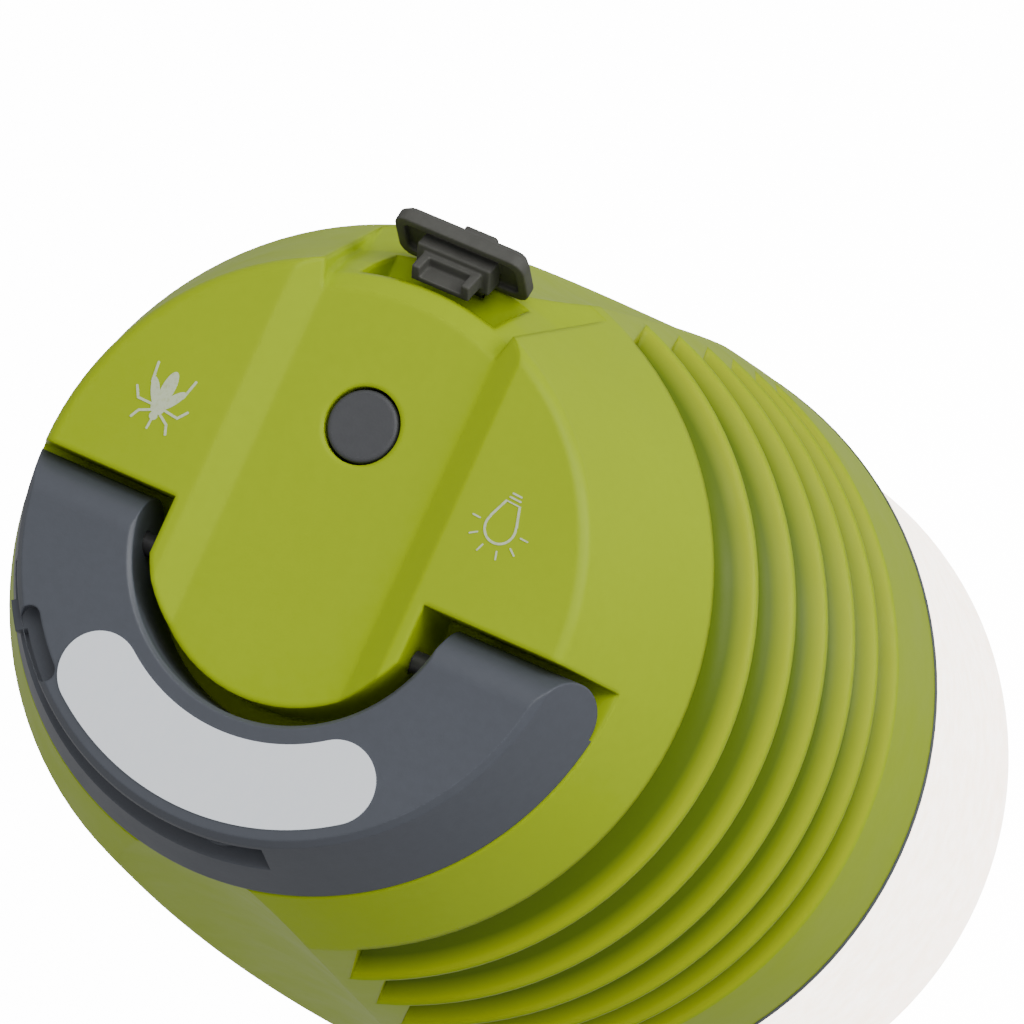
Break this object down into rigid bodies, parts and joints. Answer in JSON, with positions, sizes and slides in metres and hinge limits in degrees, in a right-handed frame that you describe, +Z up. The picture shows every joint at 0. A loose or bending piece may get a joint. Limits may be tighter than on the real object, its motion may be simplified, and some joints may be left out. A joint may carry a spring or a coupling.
{
  "type": "electric bug zapper",
  "caption": "Rechargeable lantern zapper with a ribbed shell, a half-ring handle with a swing-out hook, a round button, a rubber port cover and a frosted shade.",
  "frame": {"origin": "centre of the flat resting face under the shade", "axes": "+Z up along the lantern's axis, X along the handle's hinge line, +Y towards the charging port"},
  "size_m": [0.0858, 0.0858, 0.1501],
  "materials": {
    "housing_green": "satin",
    "handle_grey": "satin",
    "label_pale": "satin",
    "steel": "brushed",
    "button_grey": "matte",
    "black_plastic": "matte",
    "rubber_grey": "matte",
    "board_green": "gloss",
    "led_clear": "gloss",
    "cell_wrap": "gloss",
    "coil_tape": "gloss",
    "capacitor_red": "gloss",
    "white_plastic": "satin",
    "rubber_black": "matte",
    "seal_grey": "satin",
    "board_white": "satin",
    "led_warm": "gloss",
    "led_violet": "gloss",
    "tray_grey": "satin",
    "frosted_shade": "frosted",
    "print_pale": "satin"
  },
  "bodies": {
    "lantern": {"upper_housing": "housing_green", "handle_pins": "steel", "button_switch": "black_plastic", "charge_socket": "steel", "control_board": "board_green", "board_screws": "steel", "status_led": "led_clear", "battery_cell": "cell_wrap", "battery_cradle": "black_plastic", "high_voltage_board": "board_green", "high_voltage_coil": "coil_tape", "storage_capacitor": "capacitor_red", "chassis_deck": "white_plastic", "deck_screws": "steel", "shade_o_ring": "rubber_black", "seal_ring": "seal_grey", "lamp_board": "board_white", "lamp_leds": "led_warm", "uv_lamp_post": "white_plastic", "uv_leds": "led_violet", "grid_top_ring": "white_plastic", "grid_bottom_ring": "white_plastic", "grid_wires_live": "steel", "grid_wires_ground": "steel", "guard_cage": "white_plastic", "cage_screws": "steel", "catch_tray": "tray_grey", "mosquito_mark": "print_pale", "bulb_mark": "print_pale"},
    "handle": {"handle": "handle_grey", "handle_label": "label_pale", "hook_pin": "steel"},
    "hook": {"swing_hook": "handle_grey"},
    "button": {"push_button": "button_grey"},
    "cover": {"port_cover": "rubber_grey"},
    "shade": {"lamp_shade": "frosted_shade"}
  },
  "joints": [
    {"name": "handle_swing", "type": "hinge", "parent": "lantern", "child": "handle", "pos_m": [0, -0.0054, 0.1454], "axis": [-1, 0, 0], "range_deg": [0, 90]},
    {"name": "hook_swing", "type": "hinge", "parent": "handle", "child": "hook", "pos_m": [0.00333, -0.0271, 0.1461], "axis": [0, 0, 1], "range_deg": [0, 120]},
    {"name": "button_press", "type": "slide", "parent": "lantern", "child": "button", "axis": [0, 0, -1], "range_m": [0, 0.0007], "stiffness_N_per_m": 900, "springref_m": -0.0002},
    {"name": "port_cover_flip", "type": "hinge", "parent": "lantern", "child": "cover", "pos_m": [0, 0.0322, 0.138], "axis": [1, 0, 0], "range_deg": [-60, 42]},
    {"name": "shade_off", "type": "slide", "parent": "lantern", "child": "shade", "axis": [0, 0, -1], "range_m": [0, 0.065]}
  ]
}
